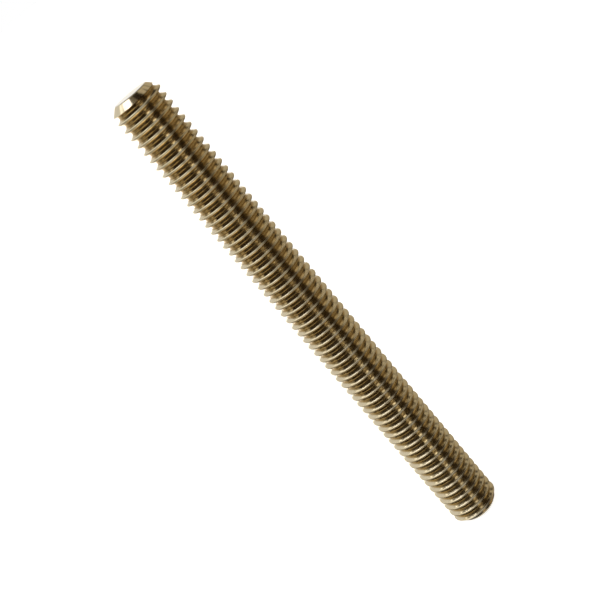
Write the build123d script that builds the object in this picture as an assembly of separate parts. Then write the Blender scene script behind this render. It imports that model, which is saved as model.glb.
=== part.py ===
from build123d import *
import math
import os

# Headless stud of round brass bar, threaded from end to end. It stands on its
# foot: the axis is +Z and the origin is the middle of the foot's flat face.
stud_length = 50.0
thread_diameter = 4.83
thread_pitch = 0.8
end_face_diameter = 3.3
longest_flat = 0.8

# Form of the thread, as shares of its pitch: the flat on the crest, the flat
# in the root, and how high the first crest crosses the +X side above the foot.
crest_share = 0.125
root_share = 0.25
first_crest_share = 0.27

# Angles in degrees: the flanks lean from square to the axis, the ends' cones
# from the axis itself.
flank_angle = 30.0
chamfer_angle = 45.0

# Turns that the thread is drawn past each end, before the ends are cut.
spare_turns = 2

crest_radius = thread_diameter / 2
end_face_radius = end_face_diameter / 2
flank_share = (1 - crest_share - root_share) / 2
root_radius = crest_radius - flank_share * thread_pitch / math.tan(math.radians(flank_angle))

# The helix is cut into short straight runs, an equal count in each quarter turn.
steps_per_turn = 4 * math.ceil(math.pi * thread_diameter / (4 * longest_flat))
turn_count = math.ceil(stud_length / thread_pitch) + 2 * spare_turns
thread_start = (first_crest_share - crest_share / 2 - spare_turns) * thread_pitch


def one_pitch_outline() -> list[tuple[float, float]]:
    """Radius and height of each corner of the thread, over one pitch from the foot of a crest."""
    crest_top = crest_share * thread_pitch
    root_foot = crest_top + flank_share * thread_pitch
    root_top = root_foot + root_share * thread_pitch
    return [
        (crest_radius, 0),
        (crest_radius, crest_top),
        (root_radius, root_foot),
        (root_radius, root_top),
        (crest_radius, thread_pitch),
    ]


def helix_point(radius: float, height: float, step: int) -> Vector:
    """Point on a right-hand helix, a number of steps round from its start on the +X side."""
    turned = step / steps_per_turn
    angle = 2 * math.pi * turned
    rise = thread_start + height + turned * thread_pitch
    return Vector(radius * math.cos(angle), radius * math.sin(angle), rise)


def flat_face(corners: list[Vector]) -> Face:
    """Flat face inside a ring of straight edges."""
    return Face(Wire.make_polygon(corners, close=True))


def strip_faces(lower: tuple[float, float], upper: tuple[float, float], step: int) -> list[Face]:
    """One step of the surface between two corners of the thread's outline.

    A crest or a root is one flat there. A flank twists, so it is two flats.
    """
    a, b = helix_point(*lower, step), helix_point(*lower, step + 1)
    c, d = helix_point(*upper, step + 1), helix_point(*upper, step)
    if lower[0] == upper[0]:
        return [flat_face([a, b, c, d])]
    return [flat_face([a, b, c]), flat_face([a, c, d])]


def one_turn() -> list[Face]:
    """Crest, root and flanks over one turn of the thread."""
    outline = one_pitch_outline()
    strips = list(zip(outline, outline[1:]))
    return [
        face
        for step in range(steps_per_turn)
        for lower, upper in strips
        for face in strip_faces(lower, upper, step)
    ]


def closing_faces(first_step: int, apex: Vector) -> list[Face]:
    """Fan over one turn of the crest's edge, and the flat wall where that turn starts."""
    rim = [helix_point(crest_radius, 0, first_step + step) for step in range(steps_per_turn + 1)]
    fan = [flat_face([apex, a, b]) for a, b in zip(rim, rim[1:])]
    wall = flat_face([apex] + [helix_point(*corner, first_step) for corner in one_pitch_outline()])
    return fan + [wall]


def threaded_bar() -> Solid:
    """Bar with the full thread, longer than the stud at both ends."""
    turn = one_turn()
    faces = [face.moved(Location((0, 0, count * thread_pitch))) for count in range(turn_count) for face in turn]
    foot_apex = Vector(0, 0, thread_start)
    top_apex = Vector(0, 0, thread_start + (turn_count + 1) * thread_pitch)
    faces += closing_faces(0, foot_apex)
    faces += closing_faces(turn_count * steps_per_turn, top_apex)
    return Solid(Shell(faces))


def foot_cutter() -> Part:
    """Everything under the foot's flat face and outside the cone of its chamfer."""
    reach = (2 * spare_turns + 1) * thread_pitch
    rim_radius = crest_radius + thread_pitch
    rim_height = (rim_radius - end_face_radius) / math.tan(math.radians(chamfer_angle))
    outline = Polyline(
        (0, -reach),
        (0, 0),
        (end_face_radius, 0),
        (rim_radius, rim_height),
        (rim_radius, -reach),
        close=True,
    )
    return revolve(Plane.XZ * make_face(outline), Axis.Z)


def threaded_stud() -> Part:
    """The stud: the threaded bar, faced and chamfered at both ends."""
    cutter = foot_cutter()
    return threaded_bar() - cutter - cutter.mirror(Plane.XY.offset(stud_length / 2))


os.makedirs("parts", exist_ok=True)
export_step(threaded_stud(), "parts/threaded_stud.step")
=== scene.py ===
"""Looks of a threaded brass stud, standing on a plain pale floor in soft studio light."""
import logging
import math
from dataclasses import dataclass, field
from enum import Enum
from typing import Any

import bpy
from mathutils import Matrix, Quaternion, Vector


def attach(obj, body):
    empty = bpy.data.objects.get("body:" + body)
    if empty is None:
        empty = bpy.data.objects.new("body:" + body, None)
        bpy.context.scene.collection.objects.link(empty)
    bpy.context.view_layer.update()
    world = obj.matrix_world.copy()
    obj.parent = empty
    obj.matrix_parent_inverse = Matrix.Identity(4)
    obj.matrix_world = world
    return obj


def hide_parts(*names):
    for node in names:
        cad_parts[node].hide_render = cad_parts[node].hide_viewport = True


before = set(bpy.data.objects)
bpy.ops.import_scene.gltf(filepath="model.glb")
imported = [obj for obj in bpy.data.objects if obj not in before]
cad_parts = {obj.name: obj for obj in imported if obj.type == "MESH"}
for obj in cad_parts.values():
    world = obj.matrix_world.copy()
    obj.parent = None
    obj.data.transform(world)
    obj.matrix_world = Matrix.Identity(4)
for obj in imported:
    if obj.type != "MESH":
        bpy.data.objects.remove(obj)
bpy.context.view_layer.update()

MM = 0.001
FULL_TURN = 2 * math.pi
LOG = logging.getLogger("threaded_stud")

Colour = tuple[float, float, float]
Socket = bpy.types.NodeSocket
Value = Any


class Tint(Enum):
    """The tints of the studio's soft panels, in linear colour."""

    WHITE = (1.0, 1.0, 1.0)
    PALE = (1.0, 0.96, 0.86)
    WARM = (1.0, 0.92, 0.72)
    TAN = (1.0, 0.85, 0.58)


class SocketKind(Enum):
    """The kinds of socket that the node trees use, with Blender's names for them."""

    FLOAT = "NodeSocketFloat"
    WHOLE = "NodeSocketInt"
    VECTOR = "NodeSocketVector"
    COLOUR = "NodeSocketColor"
    MATERIAL = "NodeSocketMaterial"
    GEOMETRY = "NodeSocketGeometry"


def opaque(colour: Colour) -> tuple[float, float, float, float]:
    """The colour with a full alpha, as Blender's colour sockets take it."""
    return (*colour, 1.0)


class NodeDesk:
    """Adds, sets and links the nodes of one node tree.

    A Mix node has a pair of inputs for numbers and another for colours, and an output for each.
    """

    NUMBER_PAIR = slice(2, 4)
    COLOUR_PAIR = slice(6, 8)
    COLOUR_OUTPUT = 2

    def __init__(self, tree: bpy.types.NodeTree) -> None:
        """Starts work on a tree.

        Args:
            tree: The tree that gets the nodes.
        """
        self.tree = tree

    def feed(self, socket: Socket, value: Value) -> None:
        """Gives an input socket its value.

        Args:
            socket: The input socket.
            value: Another node's output to link, or a plain value to set.
        """
        if isinstance(value, bpy.types.NodeSocket):
            self.tree.links.new(value, socket)
        else:
            socket.default_value = value

    def add(self, kind: str, inputs: dict[str, Value] | None = None, **settings: Value) -> bpy.types.Node:
        """Adds one node.

        Args:
            kind: Blender's name for the node's type.
            inputs: A value or an output for each input that is named.
            settings: The node's own options.

        Returns:
            The new node.
        """
        node = self.tree.nodes.new(kind)
        for name, value in settings.items():
            setattr(node, name, value)
        for name, value in (inputs or {}).items():
            self.feed(node.inputs[name], value)
        return node

    def math(self, operation: str, *terms: Value, clamp: bool = False) -> Socket:
        """Adds a sum on single numbers.

        Args:
            operation: Blender's name for the operation.
            terms: Its terms, each an output or a plain number.
            clamp: Whether the result is kept between 0 and 1.

        Returns:
            The result.
        """
        node = self.add("ShaderNodeMath", operation=operation, use_clamp=clamp)
        for socket, term in zip(node.inputs, terms):
            self.feed(socket, term)
        return node.outputs[0]

    def whole(self, operation: str, *terms: Value) -> Socket:
        """Adds a sum on whole numbers.

        Args:
            operation: Blender's name for the operation.
            terms: Its terms, each an output or a plain whole number.

        Returns:
            The result.
        """
        node = self.add("FunctionNodeIntegerMath", operation=operation)
        for socket, term in zip(node.inputs, terms):
            self.feed(socket, term)
        return node.outputs[0]

    def vector(self, x: Value, y: Value, z: Value) -> Socket:
        """Puts three numbers together as one vector, and returns it."""
        return self.add("ShaderNodeCombineXYZ", {"X": x, "Y": y, "Z": z}).outputs[0]

    def split(self, vector: Socket) -> tuple[Socket, Socket, Socket]:
        """Takes a vector apart, and returns its three numbers."""
        node = self.add("ShaderNodeSeparateXYZ", {"Vector": vector})
        return node.outputs[0], node.outputs[1], node.outputs[2]

    def reach(self, x: Value, y: Value) -> Socket:
        """Works out how far a place lies from the axis, from its first two numbers, and returns it."""
        squares = [self.math("MULTIPLY", part, part) for part in (x, y)]
        return self.math("SQRT", self.math("ADD", *squares))

    def blend(self, share: Value, first: Value, second: Value) -> Socket:
        """Goes from one number to another.

        Args:
            share: How far to go, 0 for the first number and 1 for the second.
            first: The number at the start.
            second: The number at the end.

        Returns:
            The number between them.
        """
        node = self.add("ShaderNodeMix", data_type="FLOAT", clamp_factor=True)
        for socket, value in zip(node.inputs[:1] + node.inputs[self.NUMBER_PAIR], (share, first, second)):
            self.feed(socket, value)
        return node.outputs[0]

    def ramp(self, value: Value, start: Value, end: Value, most: Value = 1.0) -> Socket:
        """Rises smoothly from 0, where the value is at start, to the most, where it is at end."""
        wanted = {"Value": value, "From Min": start, "From Max": end, "To Max": most}
        return self.add("ShaderNodeMapRange", wanted, interpolation_type="SMOOTHSTEP").outputs[0]

    def tint(self, share: Value, first: Value, second: Value, mode: str = "MIX") -> Socket:
        """Mixes two colours.

        Args:
            share: How much of the second colour is mixed in.
            first: The colour under it.
            second: The colour over it.
            mode: Blender's name for the way they are mixed.

        Returns:
            The mixed colour.
        """
        node = self.add("ShaderNodeMix", data_type="RGBA", blend_type=mode, clamp_factor=True)
        for socket, value in zip(node.inputs[:1] + node.inputs[self.COLOUR_PAIR], (share, first, second)):
            self.feed(socket, value)
        return node.outputs[self.COLOUR_OUTPUT]


class ShaderGroup:
    """A shader node group with named inputs and outputs, built once for every finish that uses it."""

    def __init__(
        self, name: str, inputs: dict[str, tuple[SocketKind, Value]], outputs: dict[str, SocketKind]
    ) -> None:
        """Makes the empty group.

        Args:
            name: The group's name.
            inputs: The kind of socket and its first value for each input, by name.
            outputs: The kind of socket for each output, by name.
        """
        self.tree = bpy.data.node_groups.new(name, "ShaderNodeTree")
        for label, (kind, value) in inputs.items():
            socket = self.tree.interface.new_socket(name=label, in_out="INPUT", socket_type=kind.value)
            if value is not None:
                socket.default_value = value
        for label, kind in outputs.items():
            self.tree.interface.new_socket(name=label, in_out="OUTPUT", socket_type=kind.value)
        self.desk = NodeDesk(self.tree)
        self.given = self.desk.add("NodeGroupInput").outputs
        self.result = self.desk.add("NodeGroupOutput").inputs

    def put_out(self, results: dict[str, Socket]) -> None:
        """Links each result to the output of that name."""
        for label, socket in results.items():
            self.desk.feed(self.result[label], socket)

    def place(self, desk: NodeDesk, values: dict[str, Value]) -> bpy.types.NodeOutputs:
        """Puts the group in a material.

        Args:
            desk: The desk of the material's own tree.
            values: What each named input gets there.

        Returns:
            The placed group's outputs.
        """
        return desk.add("ShaderNodeGroup", values, node_tree=self.tree).outputs


@dataclass(frozen=True)
class ThreadForm:
    """Sizes of the stud and the form of its thread, in metres, the same as those of its solid.

    The flats on the crest and in the root and the height at which the first crest crosses
    the +X side are shares of the pitch. Flanks lean from square to the axis.
    """

    length: float = 50.0 * MM
    crest_diameter: float = 4.83 * MM
    pitch: float = 0.8 * MM
    crest_share: float = 0.125
    root_share: float = 0.25
    first_crest_share: float = 0.27
    flank_angle: float = math.radians(30.0)
    crest_rounding: float = 0.085 * MM
    root_rounding: float = 0.05 * MM
    end_face_diameter: float = 3.3 * MM
    edge_rounding: float = 0.2 * MM
    chamfer_angle: float = math.radians(45.0)

    @property
    def crest_radius(self) -> float:
        """Radius over the crests."""
        return self.crest_diameter / 2

    @property
    def flank_share(self) -> float:
        """How much of the pitch one flank takes up."""
        return (1 - self.crest_share - self.root_share) / 2

    @property
    def depth(self) -> float:
        """How deep the roots lie under the crests."""
        return self.flank_share * self.pitch / math.tan(self.flank_angle)


@dataclass(frozen=True)
class BrassFinish:
    """Colours and surface of the brass, in linear colour and metres.

    Depths of wear and of the painted shade are shares of the thread's depth, 0 on the crest and 1 in the
    root. The darkest colour is shade painted into the roots of the thread, not a colour that the brass has.
    """

    bright: Colour = (0.85, 0.77, 0.6)
    warm: Colour = (0.79, 0.69, 0.5)
    # Painted shade: the colour that the deep roots of the thread are darkened to.
    groove_shade_colour: Colour = (0.5, 0.35, 0.15)
    crest_roughness: float = 0.24
    flank_roughness: float = 0.1
    root_roughness: float = 0.2
    turned_roughness: float = 0.1
    rubbed_depths: tuple[float, float] = (0.12, 0.34)
    # Where the painted shade in the roots begins and where it is full; the roots' roughness follows the same
    # depths.
    root_shade_depths: tuple[float, float] = (0.5, 0.95)
    patch_size: float = 2.6 * MM
    patch_detail: float = 4.0
    patch_break: float = 0.6
    patch_range: tuple[float, float] = (0.38, 0.66)
    patch_share: float = 0.45
    specks_across_patch: float = 9.0
    speck_detail: float = 3.0
    speck_range: tuple[float, float] = (0.52, 0.74)
    # How far the specks thin out the painted shade in the roots.
    speck_shade: float = 0.75
    line_length: float = 1.6 * MM
    line_width: float = 0.035 * MM
    line_depth: float = 0.0006 * MM
    line_detail: float = 2.0
    line_break: float = 0.55
    line_roughness: float = 0.08
    ring_width: float = 0.05 * MM
    wave_length: float = 1.1 * MM
    wave_width: float = 0.4 * MM
    wave_depth: float = 0.006 * MM


class BrassMaterials:
    """The stud's two finishes: the cut thread and the turned ends."""

    def __init__(self, form: ThreadForm, finish: BrassFinish) -> None:
        """Makes the shared groups and both materials.

        Args:
            form: Sizes of the thread that the finishes follow.
            finish: Colours and surface of the brass.
        """
        self.form = form
        self.finish = finish
        self.tone = self._tone_group()
        self.lines = self._line_group()
        self.thread = self._thread_material()
        self.turned = self._turned_material()

    def _tone_group(self) -> ShaderGroup:
        """Colour of brass, warmer in random patches, with painted shade mixed in where the shade input is
        high.
        """
        finish = self.finish
        group = ShaderGroup(
            "Brass tone",
            {
                "Place": (SocketKind.VECTOR, None),
                # How much painted shade is mixed in, from 0 to 1.
                "Painted Shade": (SocketKind.FLOAT, 0.0),
                "Patch Size": (SocketKind.FLOAT, finish.patch_size),
                "Bright": (SocketKind.COLOUR, opaque(finish.bright)),
                "Warm": (SocketKind.COLOUR, opaque(finish.warm)),
                # The colour of the painted shade.
                "Groove Shade Colour": (SocketKind.COLOUR, opaque(finish.groove_shade_colour)),
            },
            {"Colour": SocketKind.COLOUR},
        )
        desk, given = group.desk, group.given
        scale = desk.math("DIVIDE", 1.0, given["Patch Size"])
        place = given["Place"]
        detail, broken = finish.patch_detail, finish.patch_break
        coarse = desk.add(
            "ShaderNodeTexNoise",
            {"Vector": place, "Scale": scale, "Detail": detail, "Roughness": broken},
            noise_dimensions="3D",
        )
        patches = desk.ramp(coarse.outputs["Fac"], *finish.patch_range)
        fine_scale = desk.math("MULTIPLY", scale, finish.specks_across_patch)
        fine = desk.add(
            "ShaderNodeTexNoise",
            {"Vector": place, "Scale": fine_scale, "Detail": finish.speck_detail},
            noise_dimensions="3D",
        )
        specks = desk.ramp(fine.outputs["Fac"], *finish.speck_range)
        warmth = desk.math("MULTIPLY", patches, finish.patch_share)
        colour = desk.tint(warmth, given["Bright"], given["Warm"])
        # Painted shade: the colour is darkened towards the shade colour by the shade input, less where the
        # specks are.
        shade_share = desk.math("MULTIPLY", given["Painted Shade"], desk.blend(specks, 1.0, finish.speck_shade))
        colour = desk.tint(shade_share, colour, given["Groove Shade Colour"])
        group.put_out({"Colour": colour})
        return group

    def _line_group(self) -> ShaderGroup:
        """Fine lines that a tool leaves, long along the first axis of the place and narrow across it."""
        group = ShaderGroup(
            "Tool lines",
            {
                "Place": (SocketKind.VECTOR, None),
                "Length": (SocketKind.FLOAT, self.finish.line_length),
                "Width": (SocketKind.FLOAT, self.finish.line_width),
            },
            {"Lines": SocketKind.FLOAT},
        )
        desk, given = group.desk, group.given
        along, across, out = desk.split(given["Place"])
        stretched = desk.vector(
            desk.math("DIVIDE", along, given["Length"]),
            desk.math("DIVIDE", across, given["Width"]),
            desk.math("DIVIDE", out, given["Width"]),
        )
        detail, broken = self.finish.line_detail, self.finish.line_break
        noise = desk.add(
            "ShaderNodeTexNoise",
            {"Vector": stretched, "Scale": 1.0, "Detail": detail, "Roughness": broken},
            noise_dimensions="3D",
        )
        group.put_out({"Lines": noise.outputs["Fac"]})
        return group

    def _start(self, name: str) -> tuple[bpy.types.Material, NodeDesk, Socket]:
        """Makes an empty material.

        Args:
            name: The material's name.

        Returns:
            The material, the desk of its tree and its Object coordinates.
        """
        material = bpy.data.materials.new(name)
        material.use_nodes = True
        material.node_tree.nodes.clear()
        desk = NodeDesk(material.node_tree)
        return material, desk, desk.add("ShaderNodeTexCoord").outputs["Object"]

    def _close(self, desk: NodeDesk, tone: bpy.types.NodeOutputs, roughness: Socket, height: Socket) -> None:
        """Puts the metal shader at the end of a material.

        Args:
            desk: The desk of the material's tree.
            tone: The metal's colour.
            roughness: Its roughness.
            height: The lines on it, from 0 to 1.
        """
        bump = desk.add(
            "ShaderNodeBump", {"Strength": 1.0, "Distance": self.finish.line_depth, "Height": height}
        )
        metal = desk.add(
            "ShaderNodeBsdfPrincipled",
            {
                "Base Color": tone["Colour"],
                "Roughness": roughness,
                "Metallic": 1.0,
                "Normal": bump.outputs[0],
            },
        )
        desk.add("ShaderNodeOutputMaterial", {"Surface": metal.outputs[0]})

    def _thread_material(self) -> bpy.types.Material:
        """Brass of the thread, with lines that run along the helix and painted shade that darkens the roots.
        """
        material, desk, place = self._start("threaded_brass")
        form, finish = self.form, self.finish
        x, y, z = desk.split(place)
        radius = desk.reach(x, y)
        turned = desk.math("DIVIDE", desk.math("ARCTAN2", y, x), FULL_TURN)
        height = desk.math("SUBTRACT", desk.math("DIVIDE", z, form.pitch), form.first_crest_share)
        count = desk.math("ROUND", desk.math("SUBTRACT", height, turned))
        wound = desk.math("ADD", count, turned)
        along = desk.math("MULTIPLY", wound, FULL_TURN * form.crest_radius)
        across = desk.math("MULTIPLY", desk.math("SUBTRACT", height, wound), form.pitch)
        followed = desk.vector(along, across, radius)
        sunk = desk.math("DIVIDE", desk.math("SUBTRACT", form.crest_radius, radius), form.depth)
        # Painted shade in the deep roots; the same mask also makes the roots rougher.
        root_shade_rough_mask = desk.ramp(sunk, *finish.root_shade_depths)
        tone = self.tone.place(desk, {"Place": place, "Painted Shade": root_shade_rough_mask})
        lines = self.lines.place(desk, {"Place": followed})["Lines"]
        waved = {"Place": followed, "Length": finish.wave_length, "Width": finish.wave_width}
        waves = self.lines.place(desk, waved)["Lines"]
        waves = desk.math("MULTIPLY", waves, finish.wave_depth / finish.line_depth)
        unrubbed = desk.ramp(sunk, *finish.rubbed_depths)
        roughness = desk.blend(unrubbed, finish.crest_roughness, finish.flank_roughness)
        roughness = desk.blend(root_shade_rough_mask, roughness, finish.root_roughness)
        roughness = desk.math("ADD", roughness, desk.math("MULTIPLY", lines, finish.line_roughness))
        self._close(desk, tone, roughness, desk.math("ADD", lines, waves))
        return material

    def _turned_material(self) -> bpy.types.Material:
        """Brass of the end faces and chamfers, with rings from the turning tool."""
        material, desk, place = self._start("turned_brass")
        x, y, z = desk.split(place)
        radius = desk.reach(x, y)
        along = desk.math("MULTIPLY", desk.math("ARCTAN2", y, x), self.form.crest_radius)
        followed = desk.vector(along, radius, z)
        # No painted shade on the turned ends.
        tone = self.tone.place(desk, {"Place": place, "Painted Shade": 0.0})
        lines = self.lines.place(desk, {"Place": followed, "Width": self.finish.ring_width})["Lines"]
        roughness = desk.math("MULTIPLY", lines, self.finish.line_roughness)
        roughness = desk.math("ADD", self.finish.turned_roughness, roughness)
        self._close(desk, tone, roughness, lines)
        return material


class ThreadTree:
    """Geometry nodes that wind the thread's outline round the axis and turn the stud's two ends.

    Faces are marked 0 for the thread and 1 for the turned ends. An edge between the two kinds
    has a mean mark within the border's spread of a half.
    """

    TURNED = "turned_face"
    HALF_TURNED = 0.5
    BORDER_SPREAD = 0.4
    HALF_STEP = 0.5
    INPUTS = {
        SocketKind.FLOAT: (
            "Stud Length", "Crest Radius", "Pitch", "Crest Share", "Root Share", "First Crest Share",
            "Thread Depth", "Crest Rounding", "Root Rounding", "End Face Radius", "Chamfer Angle",
            "Edge Rounding", "Blank Clearance", "Weld Distance", "Sharp Angle",
        ),
        SocketKind.WHOLE: ("Steps per Turn", "Rounding Steps", "Spare Turns", "Chamfer Steps", "Edge Steps"),
        SocketKind.MATERIAL: ("Thread Brass", "Turned Brass"),
    }

    def __init__(self) -> None:
        """Builds the tree, with a named input for each size."""
        self.tree = bpy.data.node_groups.new("Threaded stud", "GeometryNodeTree")
        self.desk = NodeDesk(self.tree)
        face = self.tree.interface
        face.new_socket(name="Geometry", in_out="OUTPUT", socket_type=SocketKind.GEOMETRY.value)
        for kind, names in self.INPUTS.items():
            for name in names:
                face.new_socket(name=name, in_out="INPUT", socket_type=kind.value)
        self.given = self.desk.add("NodeGroupInput").outputs
        self._build()

    def identifiers(self) -> dict[str, str]:
        """The identifier of each input socket, by the input's name."""
        items = self.tree.interface.items_tree
        return {item.name: item.identifier for item in items if item.in_out == "INPUT"}

    def _build(self) -> None:
        """Links the whole tree, from the outline of one pitch to the finished mesh."""
        desk, given = self.desk, self.given
        outline = self._outline()
        size = desk.add("GeometryNodeAttributeDomainSize", {"Geometry": outline}, component="CURVE")
        self.count = size.outputs[0]
        self.outline = outline
        pitches = desk.math("CEIL", desk.math("DIVIDE", given["Stud Length"], given["Pitch"]))
        turns = desk.math("ADD", pitches, desk.math("MULTIPLY", given["Spare Turns"], 2.0))
        start = desk.math("SUBTRACT", given["First Crest Share"], given["Spare Turns"])
        end = desk.math("ADD", start, turns)
        sides = self._wound_surface(turns, start, end)
        foot_wall = self._wall(start, start)
        top_wall = self._wall(end, desk.math("ADD", end, 1.0))
        top_wall = desk.add("GeometryNodeFlipFaces", {"Mesh": top_wall}).outputs[0]
        joined = desk.add("GeometryNodeJoinGeometry")
        for part in (sides, foot_wall, top_wall):
            desk.feed(joined.inputs[0], part)
        welded = desk.add(
            "GeometryNodeMergeByDistance",
            {"Geometry": joined.outputs[0], "Distance": given["Weld Distance"]},
        )
        cut = desk.add("GeometryNodeMeshBoolean", operation="INTERSECT", solver="EXACT")
        for part, mark in ((welded.outputs[0], 0.0), (self._blank(), 1.0)):
            desk.feed(cut.inputs["Mesh 2"], self._marked(part, mark))
        clean = desk.add(
            "GeometryNodeMergeByDistance",
            {"Geometry": cut.outputs["Mesh"], "Distance": given["Weld Distance"]},
        )
        self._dress(clean.outputs[0])

    def _marked(self, part: Socket, mark: float) -> Socket:
        """Marks every face of a part as turned, with 1, or threaded, with 0, and returns the part."""
        values = {"Geometry": part, "Name": self.TURNED, "Value": mark}
        node = self.desk.add("GeometryNodeStoreNamedAttribute", values, data_type="FLOAT", domain="FACE")
        return node.outputs[0]

    def _outline(self) -> Socket:
        """One pitch of the thread's outline, from mid-crest to mid-crest.

        Returns:
            A curve with the radius along X and the height along Z, its corners rounded.
        """
        desk, given = self.desk, self.given
        pitch, radius = given["Pitch"], given["Crest Radius"]
        root = desk.math("SUBTRACT", radius, given["Thread Depth"])
        crest_top = desk.math("MULTIPLY", desk.math("MULTIPLY", given["Crest Share"], pitch), 0.5)
        half_root = desk.math("MULTIPLY", desk.math("MULTIPLY", given["Root Share"], pitch), 0.5)
        half_pitch = desk.math("MULTIPLY", pitch, 0.5)
        corners = [
            (radius, 0.0),
            (radius, crest_top),
            (root, desk.math("SUBTRACT", half_pitch, half_root)),
            (root, desk.math("ADD", half_pitch, half_root)),
            (radius, desk.math("SUBTRACT", pitch, crest_top)),
            (radius, pitch),
        ]
        line = desk.add("GeometryNodeMeshLine", {"Count": len(corners)}, mode="OFFSET").outputs[0]
        index = desk.add("GeometryNodeInputIndex").outputs[0]
        choice = desk.add("GeometryNodeIndexSwitch", data_type="VECTOR")
        while len(choice.index_switch_items) < len(corners):
            choice.index_switch_items.new()
        desk.feed(choice.inputs[0], index)
        for number, (out, height) in enumerate(corners):
            desk.feed(choice.inputs[number + 1], desk.vector(out, 0.0, height))
        placed = desk.add("GeometryNodeSetPosition", {"Geometry": line, "Position": choice.outputs[0]})
        curve = desk.add("GeometryNodeMeshToCurve", {"Mesh": placed.outputs[0]}).outputs[0]
        middle = (len(corners) - 1) / 2
        in_root = desk.math("COMPARE", index, middle, 1.0)
        rounding = desk.blend(in_root, given["Crest Rounding"], given["Root Rounding"])
        fillet = desk.add("GeometryNodeFilletCurve", mode="POLY")
        wanted = {"Curve": curve, "Count": given["Rounding Steps"], "Radius": rounding, "Limit Radius": True}
        for name, value in wanted.items():
            desk.feed(fillet.inputs[name], value)
        return fillet.outputs[0]

    def _outline_point(self, index: Socket) -> tuple[Socket, Socket]:
        """Reads one point of the outline.

        Args:
            index: Which point, counted from mid-crest.

        Returns:
            The point's radius and height.
        """
        desk = self.desk
        sample = desk.add("GeometryNodeSampleIndex", data_type="FLOAT_VECTOR", domain="POINT")
        position = desk.add("GeometryNodeInputPosition").outputs[0]
        for name, value in {"Geometry": self.outline, "Value": position, "Index": index}.items():
            desk.feed(sample.inputs[name], value)
        out, _, height = desk.split(sample.outputs[0])
        return out, height

    def _wound_surface(self, turns: Socket, start: Socket, end: Socket) -> Socket:
        """Winds the outline round the axis as one sheet, gathered to a point on the axis at both ends.

        Args:
            turns: How many pitches one straight column of the sheet has.
            start: Height of its first row on the +X side, in pitches.
            end: Height of its last row on the +X side, in pitches.

        Returns:
            The sheet, whose two side edges lie on each other.
        """
        desk, given = self.desk, self.given
        steps = given["Steps per Turn"]
        per_pitch = desk.whole("SUBTRACT", self.count, 1)
        wound_rows = desk.whole("ADD", desk.whole("MULTIPLY", turns, per_pitch), 1)
        rows = desk.whole("ADD", wound_rows, 2)
        sizes = {"Size X": 1.0, "Size Y": 1.0, "Vertices X": desk.whole("ADD", steps, 1), "Vertices Y": rows}
        grid = desk.add("GeometryNodeMeshGrid", sizes).outputs[0]
        index = desk.add("GeometryNodeInputIndex").outputs[0]
        column = desk.whole("DIVIDE_FLOOR", index, rows)
        row = desk.whole("SUBTRACT", desk.whole("MODULO", index, rows), 1)
        at_foot = desk.math("LESS_THAN", row, 0.0)
        at_top = desk.math("GREATER_THAN", row, desk.math("SUBTRACT", wound_rows, self.HALF_STEP))
        turn = desk.whole("DIVIDE_FLOOR", row, per_pitch)
        out, height = self._outline_point(desk.whole("FLOORED_MODULO", row, per_pitch))
        turned = desk.math("DIVIDE", column, steps)
        rise = desk.math("ADD", desk.math("ADD", start, turn), turned)
        level = desk.math("ADD", desk.math("MULTIPLY", rise, given["Pitch"]), height)
        level = desk.blend(at_foot, level, desk.math("MULTIPLY", start, given["Pitch"]))
        tip = desk.math("MULTIPLY", desk.math("ADD", end, 1.0), given["Pitch"])
        level = desk.blend(at_top, level, tip)
        out = desk.blend(desk.math("ADD", at_foot, at_top), out, 0.0)
        angle = desk.math("MULTIPLY", turned, FULL_TURN)
        x = desk.math("MULTIPLY", out, desk.math("COSINE", angle))
        y = desk.math("MULTIPLY", out, desk.math("SINE", angle))
        placed = {"Geometry": grid, "Position": desk.vector(x, y, level)}
        return desk.add("GeometryNodeSetPosition", placed).outputs[0]

    def _wall(self, start: Socket, tip: Socket) -> Socket:
        """Flat wall that closes the step where the wound sheet starts or ends.

        Args:
            start: Height of the wall's first crest, in pitches.
            tip: Height of its corner on the axis, in pitches.

        Returns:
            The wall, one face on the +X side.
        """
        desk, given = self.desk, self.given
        corners = desk.whole("ADD", self.count, 1)
        face = desk.add("GeometryNodeMeshCircle", {"Vertices": corners}, fill_type="NGON").outputs[0]
        index = desk.add("GeometryNodeInputIndex").outputs[0]
        out, height = self._outline_point(index)
        level = desk.math("ADD", desk.math("MULTIPLY", start, given["Pitch"]), height)
        on_axis = desk.math("COMPARE", index, self.count, self.HALF_STEP)
        level = desk.blend(on_axis, level, desk.math("MULTIPLY", tip, given["Pitch"]))
        placed = {"Geometry": face, "Position": desk.vector(desk.blend(on_axis, out, 0.0), 0.0, level)}
        return desk.add("GeometryNodeSetPosition", placed).outputs[0]

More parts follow.
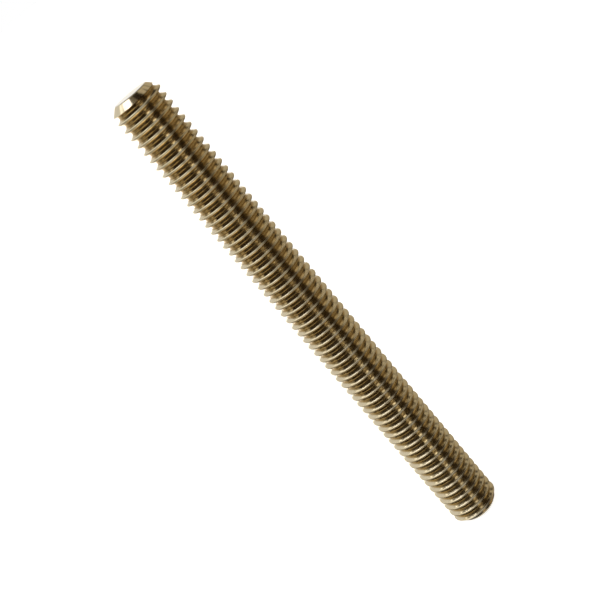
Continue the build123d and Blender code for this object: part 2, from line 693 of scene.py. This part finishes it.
    def _blank(self) -> Socket:
        """The turned blank: a bar wider than the crests, faced and chamfered at both ends.

        Returns:
            The bar, with a small rounding where each end face meets its chamfer.
        """
        desk, given = self.desk, self.given
        steps = given["Edge Steps"]
        segments = desk.whole("ADD", desk.whole("MULTIPLY", steps, 2), 3)
        sizes = {"Vertices": given["Chamfer Steps"], "Side Segments": segments, "Radius": 1.0, "Depth": 1.0}
        bar = desk.add("GeometryNodeMeshCylinder", sizes, fill_type="NGON").outputs[0]
        x, y, z = desk.split(desk.add("GeometryNodeInputPosition").outputs[0])
        from_end = desk.math("MULTIPLY", desk.math("SUBTRACT", 0.5, desk.math("ABSOLUTE", z)), segments)
        share = desk.math("DIVIDE", desk.math("ROUND", from_end), steps)
        at_rim = desk.math("GREATER_THAN", share, 1.0)
        turn = desk.math("SUBTRACT", FULL_TURN / 4, given["Chamfer Angle"])
        angle = desk.math("MULTIPLY", turn, share)
        rounding = given["Edge Rounding"]
        inset = desk.math("MULTIPLY", rounding, desk.math("TANGENT", desk.math("MULTIPLY", turn, 0.5)))
        edge = desk.math("SUBTRACT", given["End Face Radius"], inset)
        edge = desk.math("ADD", edge, desk.math("MULTIPLY", rounding, desk.math("SINE", angle)))
        drop = desk.math("MULTIPLY", rounding, desk.math("SUBTRACT", 1.0, desk.math("COSINE", angle)))
        rim = desk.math("ADD", given["Crest Radius"], given["Blank Clearance"])
        run = desk.math("SUBTRACT", rim, given["End Face Radius"])
        run = desk.math("DIVIDE", run, desk.math("TANGENT", given["Chamfer Angle"]))
        half = desk.math("MULTIPLY", given["Stud Length"], 0.5)
        reach = desk.math("SUBTRACT", half, desk.blend(at_rim, drop, run))
        level = desk.math("ADD", half, desk.math("MULTIPLY", desk.math("SIGN", z), reach))
        out = desk.blend(at_rim, edge, rim)
        place = desk.vector(desk.math("MULTIPLY", x, out), desk.math("MULTIPLY", y, out), level)
        return desk.add("GeometryNodeSetPosition", {"Geometry": bar, "Position": place}).outputs[0]

    def _dress(self, mesh: Socket) -> None:
        """Shades the stud, with its turned edges sharp, and gives each face its finish."""
        desk, given = self.desk, self.given
        real = desk.add("GeometryNodeRealizeInstances", {"Geometry": mesh}).outputs[0]
        shading = {"Geometry": real, "Shade Smooth": True}
        smooth = desk.add("GeometryNodeSetShadeSmooth", shading, domain="FACE")
        named = desk.add("GeometryNodeInputNamedAttribute", {"Name": self.TURNED}, data_type="FLOAT")
        mark = named.outputs[0]
        on_edge = desk.add("GeometryNodeFieldOnDomain", {"Value": mark}, domain="EDGE", data_type="FLOAT")
        border = desk.math("COMPARE", on_edge.outputs[0], self.HALF_TURNED, self.BORDER_SPREAD)
        angle = desk.add("GeometryNodeInputMeshEdgeAngle").outputs[0]
        bent = desk.math("GREATER_THAN", angle, given["Sharp Angle"])
        creased = desk.math("MAXIMUM", border, bent)
        sharp = desk.add(
            "GeometryNodeSetShadeSmooth",
            {"Geometry": smooth.outputs[0], "Selection": creased, "Shade Smooth": False},
            domain="EDGE",
        )
        threaded = desk.add(
            "GeometryNodeSetMaterial", {"Geometry": sharp.outputs[0], "Material": given["Thread Brass"]}
        )
        is_turned = desk.math("GREATER_THAN", mark, self.HALF_TURNED)
        turned = desk.add(
            "GeometryNodeSetMaterial",
            {"Geometry": threaded.outputs[0], "Selection": is_turned, "Material": given["Turned Brass"]},
        )
        desk.add("NodeGroupOutput", {"Geometry": turned.outputs[0]})


@dataclass
class ThreadedStud:
    """The stud: one piece of brass bar with a thread from end to end."""

    form: ThreadForm = field(default_factory=ThreadForm)
    finish: BrassFinish = field(default_factory=BrassFinish)
    steps_per_turn: int = 72
    rounding_steps: int = 3
    spare_turns: int = 2
    chamfer_steps: int = 180
    edge_steps: int = 5
    blank_clearance: float = 0.3 * MM
    weld_distance: float = 0.001 * MM
    sharp_angle: float = math.radians(40.0)
    name: str = "brass_stud"
    node: str = "threaded_stud"
    slot: str = "brass"
    body: str = "root"

    def build(self) -> bpy.types.Object:
        """Makes the stud's mesh, dresses it and puts it in the place of its solid.

        Returns:
            The finished piece.
        """
        materials = BrassMaterials(self.form, self.finish)
        piece = bpy.data.objects.new(self.name, bpy.data.meshes.new(self.name))
        bpy.context.scene.collection.objects.link(piece)
        self._wind(piece, materials)
        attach(piece, self.body)
        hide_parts(self.node)
        return piece

    def _wind(self, piece: bpy.types.Object, materials: BrassMaterials) -> None:
        """Runs the geometry nodes and keeps their result as a plain mesh.

        Args:
            piece: The object that gets the mesh.
            materials: The finishes of its faces.
        """
        tree = ThreadTree()
        modifier = piece.modifiers.new("thread", "NODES")
        modifier.node_group = tree.tree
        form = self.form
        values = {
            "Stud Length": form.length,
            "Crest Radius": form.crest_radius,
            "Pitch": form.pitch,
            "Crest Share": form.crest_share,
            "Root Share": form.root_share,
            "First Crest Share": form.first_crest_share,
            "Thread Depth": form.depth,
            "Crest Rounding": form.crest_rounding,
            "Root Rounding": form.root_rounding,
            "End Face Radius": form.end_face_diameter / 2,
            "Chamfer Angle": form.chamfer_angle,
            "Edge Rounding": form.edge_rounding,
            "Blank Clearance": self.blank_clearance,
            "Weld Distance": self.weld_distance,
            "Sharp Angle": self.sharp_angle,
            "Steps per Turn": self.steps_per_turn,
            "Rounding Steps": self.rounding_steps,
            "Spare Turns": self.spare_turns,
            "Chamfer Steps": self.chamfer_steps,
            "Edge Steps": self.edge_steps,
            "Thread Brass": materials.thread,
            "Turned Brass": materials.turned,
        }
        for name, identifier in tree.identifiers().items():
            modifier[identifier] = values[name]
        evaluated = piece.evaluated_get(bpy.context.evaluated_depsgraph_get())
        mesh = bpy.data.meshes.new_from_object(evaluated)
        piece.modifiers.remove(modifier)
        mesh.attributes.remove(mesh.attributes[tree.TURNED])
        mesh.name = self.name
        piece.data = mesh


@dataclass(frozen=True)
class SoftPanel:
    """A soft bright panel of the studio, far away, with its edges square to the horizon.

    Its azimuth is counted from the camera's side, which is -Y, towards +X, and its elevation
    from the horizon. The light falls off over the edge, outside the half width and half height.
    All are in degrees.
    """

    azimuth: float
    elevation: float
    half_width: float
    half_height: float
    edge: float
    strength: float
    tint: Tint = Tint.WHITE


@dataclass
class Studio:
    """Plain pale floor, soft panels round the stud and white surroundings.

    The key side is at the camera's left and lights the crests, and the chamfer light above it
    whitens the upper chamfer. The sparkles are small panels in front that light a row of spots
    in the grooves. The tan side is at the camera's right.
    """

    floor_size: float = 30.0
    floor_colour: Colour = (0.92, 0.92, 0.92)
    floor_roughness: float = 0.9
    floor_glow: float = 0.92
    ambient: Colour = (0.012, 0.006, 0.0015)
    backdrop: Colour = Tint.WHITE.value
    key_side: tuple[SoftPanel, ...] = (
        SoftPanel(-76.0, 24.0, 38.0, 20.0, 10.0, 0.7, Tint.WARM),
        SoftPanel(-62.0, 50.0, 26.0, 5.0, 4.0, 2.45, Tint.PALE),
        SoftPanel(-60.0, 31.0, 28.0, 5.0, 5.0, 0.6, Tint.PALE),
    )
    chamfer_light: tuple[SoftPanel, ...] = (
        SoftPanel(-88.0, 73.0, 14.0, 5.0, 4.0, 2.2),
        SoftPanel(-107.0, 64.0, 10.0, 5.0, 4.0, 1.7),
        SoftPanel(-124.0, 53.0, 9.0, 7.0, 4.0, 1.1, Tint.PALE),
    )
    front: tuple[SoftPanel, ...] = (
        SoftPanel(-20.0, 78.0, 60.0, 9.0, 3.0, 0.14, Tint.TAN),
        SoftPanel(-4.0, 46.0, 34.0, 9.0, 6.0, 1.05, Tint.PALE),
        SoftPanel(-10.0, 12.0, 34.0, 6.0, 5.0, 0.3, Tint.WARM),
        SoftPanel(0.0, -16.0, 56.0, 16.0, 10.0, 0.02, Tint.TAN),
    )
    low_side: tuple[SoftPanel, ...] = (
        SoftPanel(-146.0, 10.0, 20.0, 32.0, 10.0, 0.68, Tint.PALE),
        SoftPanel(-104.0, -14.0, 16.0, 6.0, 6.0, 0.25, Tint.WARM),
        SoftPanel(-87.0, -15.0, 7.0, 3.0, 4.0, 0.7, Tint.PALE),
    )
    sparkles: tuple[SoftPanel, ...] = (
        SoftPanel(14.0, -33.0, 8.0, 3.0, 3.0, 1.8, Tint.PALE),
        SoftPanel(10.0, -14.0, 7.0, 2.0, 2.0, 1.9, Tint.PALE),
    )
    tan_side: tuple[SoftPanel, ...] = (
        SoftPanel(90.0, 34.0, 26.0, 8.0, 6.0, 0.65, Tint.TAN),
        SoftPanel(92.0, 22.0, 28.0, 8.0, 8.0, 0.15, Tint.TAN),
        SoftPanel(92.0, -30.0, 30.0, 4.0, 6.0, 0.75, Tint.TAN),
        SoftPanel(92.0, -9.0, 30.0, 3.0, 5.0, 0.55, Tint.TAN),
        SoftPanel(112.0, 62.0, 9.0, 6.0, 4.0, 0.45, Tint.TAN),
        SoftPanel(129.0, 47.0, 7.0, 6.0, 4.0, 0.45, Tint.TAN),
        SoftPanel(150.0, 13.0, 16.0, 20.0, 8.0, 0.42, Tint.TAN),
        SoftPanel(148.0, -28.0, 16.0, 10.0, 8.0, 0.18, Tint.TAN),
    )
    behind: tuple[SoftPanel, ...] = (
        SoftPanel(180.0, 6.0, 10.0, 6.0, 6.0, 1.0),
        SoftPanel(180.0, 74.0, 60.0, 10.0, 6.0, 0.45, Tint.WARM),
        SoftPanel(-165.0, -14.0, 16.0, 10.0, 8.0, 0.9, Tint.PALE),
        SoftPanel(180.0, -48.0, 24.0, 18.0, 8.0, 0.6, Tint.PALE),
        SoftPanel(0.0, -82.0, 180.0, 10.0, 6.0, 0.35, Tint.PALE),
    )

    @property
    def panels(self) -> tuple[SoftPanel, ...]:
        """All the soft panels, group by group."""
        key_light = self.key_side + self.chamfer_light + self.front
        return key_light + self.low_side + self.sparkles + self.tan_side + self.behind

    def build(self) -> None:
        """Makes the floor and the surroundings."""
        self._floor()
        self._surroundings()

    def _floor(self) -> None:
        """Makes the floor, level with the stud's foot."""
        half = self.floor_size / 2
        mesh = bpy.data.meshes.new("floor")
        corners = [(-half, -half, 0.0), (half, -half, 0.0), (half, half, 0.0), (-half, half, 0.0)]
        mesh.from_pydata(corners, [], [tuple(range(len(corners)))])
        floor = bpy.data.objects.new("floor", mesh)
        bpy.context.scene.collection.objects.link(floor)
        floor.visible_glossy = False
        material = bpy.data.materials.new("floor")
        material.use_nodes = True
        material.node_tree.nodes.clear()
        desk = NodeDesk(material.node_tree)
        paint = desk.add(
            "ShaderNodeBsdfPrincipled",
            {
                "Base Color": opaque(self.floor_colour),
                "Roughness": self.floor_roughness,
                "Emission Color": opaque(self.floor_colour),
                "Emission Strength": self.floor_glow,
            },
        )
        desk.add("ShaderNodeOutputMaterial", {"Surface": paint.outputs[0]})
        mesh.materials.append(material)

    def _panel_light(self, desk: NodeDesk, panel: SoftPanel, azimuth: Socket, elevation: Socket) -> Socket:
        """Brightness that one panel gives in each direction.

        Args:
            desk: The desk of the surroundings' tree.
            panel: The panel.
            azimuth: The direction's azimuth in degrees.
            elevation: The direction's elevation in degrees.

        Returns:
            The brightness.
        """
        half_turn = math.degrees(math.pi)
        off = desk.math("WRAP", desk.math("SUBTRACT", azimuth, panel.azimuth), half_turn, -half_turn)
        rise = desk.math("SUBTRACT", elevation, panel.elevation)
        sides = ((off, panel.half_width, panel.strength), (rise, panel.half_height, 1.0))
        shares = [
            desk.ramp(desk.math("ABSOLUTE", distance), half + panel.edge, half, most)
            for distance, half, most in sides
        ]
        return desk.math("MULTIPLY", *shares)

    def _surroundings(self) -> None:
        """Makes the soft panels, and white behind the stud for the camera."""
        world = bpy.data.worlds.new("studio")
        world.use_nodes = True
        world.node_tree.nodes.clear()
        bpy.context.scene.world = world
        desk = NodeDesk(world.node_tree)
        x, y, z = desk.split(desk.add("ShaderNodeTexCoord").outputs["Generated"])
        azimuth = desk.math("DEGREES", desk.math("ARCTAN2", x, desk.math("MULTIPLY", y, -1.0)))
        elevation = desk.math("DEGREES", desk.math("ARCSINE", z))
        light = opaque(self.ambient)
        for tint in dict.fromkeys(panel.tint for panel in self.panels):
            level: Value = 0.0
            for panel in (panel for panel in self.panels if panel.tint is tint):
                level = desk.math("ADD", level, self._panel_light(desk, panel, azimuth, elevation))
            tinted = desk.vector(*(desk.math("MULTIPLY", level, part) for part in tint.value))
            light = desk.tint(1.0, light, tinted, "ADD")
        seen = desk.add("ShaderNodeLightPath").outputs["Is Camera Ray"]
        light = desk.tint(seen, light, opaque(self.backdrop))
        glow = desk.add("ShaderNodeBackground", {"Color": light, "Strength": 1.0})
        desk.add("ShaderNodeOutputWorld", {"Surface": glow.outputs[0]})
        bpy.context.scene.view_settings.view_transform = "Standard"


@dataclass
class PhotoCamera:
    """Camera at the photograph's viewing angle, rolled so that the stud lies across the picture."""

    location: tuple[float, float, float] = (0.0, -105.82 * MM, 60.59 * MM)
    aim: tuple[float, float, float] = (-0.234 * MM, -0.98 * MM, 27.29 * MM)
    roll: float = math.radians(-40.26)
    lens: float = 75.99
    sensor: float = 36.0
    clip_near: float = 5 * MM
    clip_far: float = 100.0

    def build(self) -> bpy.types.Object:
        """Makes the camera and sets it as the scene's own.

        Returns:
            The camera.
        """
        data = bpy.data.cameras.new("photo_camera")
        data.lens, data.sensor_width = self.lens, self.sensor
        data.clip_start, data.clip_end = self.clip_near, self.clip_far
        camera = bpy.data.objects.new("photo_camera", data)
        bpy.context.scene.collection.objects.link(camera)
        sight = Vector(self.aim) - Vector(self.location)
        turn = sight.to_track_quat("-Z", "Y") @ Quaternion((0.0, 0.0, 1.0), self.roll)
        camera.location = self.location
        camera.rotation_mode = "QUATERNION"
        camera.rotation_quaternion = turn
        bpy.context.scene.camera = camera
        return camera


def report(piece: bpy.types.Object) -> None:
    """Logs a piece's name, its count of triangles and its size in millimetres."""
    piece.data.calc_loop_triangles()
    sizes = " x ".join(f"{side / MM:.3f}" for side in piece.dimensions)
    LOG.info("%s: %d triangles, %s mm", piece.name, len(piece.data.loop_triangles), sizes)


def main() -> None:
    """Builds the stud, the studio and the camera."""
    logging.basicConfig(level=logging.INFO, format="%(name)s: %(message)s")
    report(ThreadedStud().build())
    Studio().build()
    LOG.info("studio: floor and soft panels")
    LOG.info("camera: %s", PhotoCamera().build().name)


if __name__ == "__main__":
    main()
